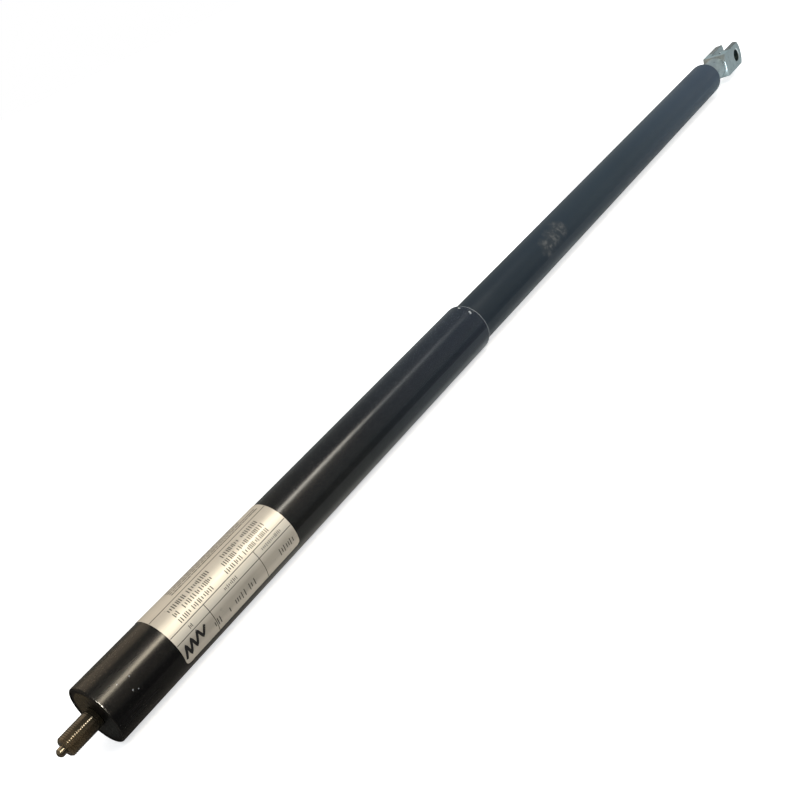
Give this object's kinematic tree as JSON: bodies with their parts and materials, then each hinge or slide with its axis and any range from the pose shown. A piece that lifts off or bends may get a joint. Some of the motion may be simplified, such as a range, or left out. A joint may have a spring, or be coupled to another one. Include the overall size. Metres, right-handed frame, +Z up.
{
  "type": "lockable gas spring",
  "caption": "Long lockable gas spring: a protective tube slides over a slimmer pressure tube with a fork head, and a release pin sits in the threaded rod end.",
  "frame": {"origin": "centre of the fork head's pin hole", "axes": "+X along the spring from the fork head towards the threaded rod end, +Y along the pin hole, +Z up; drawn fully extended"},
  "size_m": [0.824, 0.0321, 0.0321],
  "materials": {
    "zinc_steel": "zinc plated, satin",
    "slate_black_paint": "satin black paint",
    "black_paint": "semi-gloss black paint",
    "phosphated_rod": "dark phosphated and oiled",
    "bright_steel": "ground",
    "spring_steel": "oiled",
    "aluminium": "turned",
    "brass": "turned",
    "rubber": "matt",
    "bearing_plastic": "moulded",
    "label_foil": "matt silver foil"
  },
  "bodies": {
    "cylinder": {"clevis": "zinc_steel", "pressure_tube": "slate_black_paint", "base_plug": "bright_steel", "base_plug_oring": "rubber", "end_stop_ring": "rubber", "seal_support_washer": "bright_steel", "rod_seal": "rubber", "rod_guide": "brass", "end_washer": "bright_steel"},
    "floating_piston": {"floating_piston": "aluminium", "floating_piston_oring": "rubber"},
    "piston_seal": {"piston_seal_ring": "rubber"},
    "rod": {"piston_rod": "phosphated_rod", "piston_body": "aluminium", "piston_guide_band": "bearing_plastic", "valve_cap": "aluminium", "protective_tube": "black_paint", "guide_ring": "bearing_plastic", "tube_end_plate": "black_paint", "clamp_washer": "bright_steel", "rod_circlip": "spring_steel", "foil_label": "label_foil"},
    "release_pin": {"release_pin": "bright_steel", "valve_stem": "bright_steel", "valve_stem_oring": "rubber"}
  },
  "joints": [
    {"name": "rod_slide", "type": "slide", "parent": "cylinder", "child": "piston_seal", "axis": [-1, 0, 0], "range_m": [0, 0.25]},
    {"name": "rod_spin", "type": "hinge", "parent": "piston_seal", "child": "rod", "pos_m": [0, 0, 0], "axis": [1, 0, 0], "continuous": true},
    {"name": "release_press", "type": "slide", "parent": "rod", "child": "release_pin", "axis": [-1, 0, 0], "range_m": [0, 0.0025], "stiffness_N_per_m": 2000, "springref_m": -0.005},
    {"name": "floating_piston_slide", "type": "slide", "parent": "cylinder", "child": "floating_piston", "axis": [-1, 0, 0], "range_m": [0, 0.0436]}
  ],
  "couplings": [
    {"joint": "floating_piston_slide", "follows": "rod_slide", "ratio": 0.17361}
  ]
}
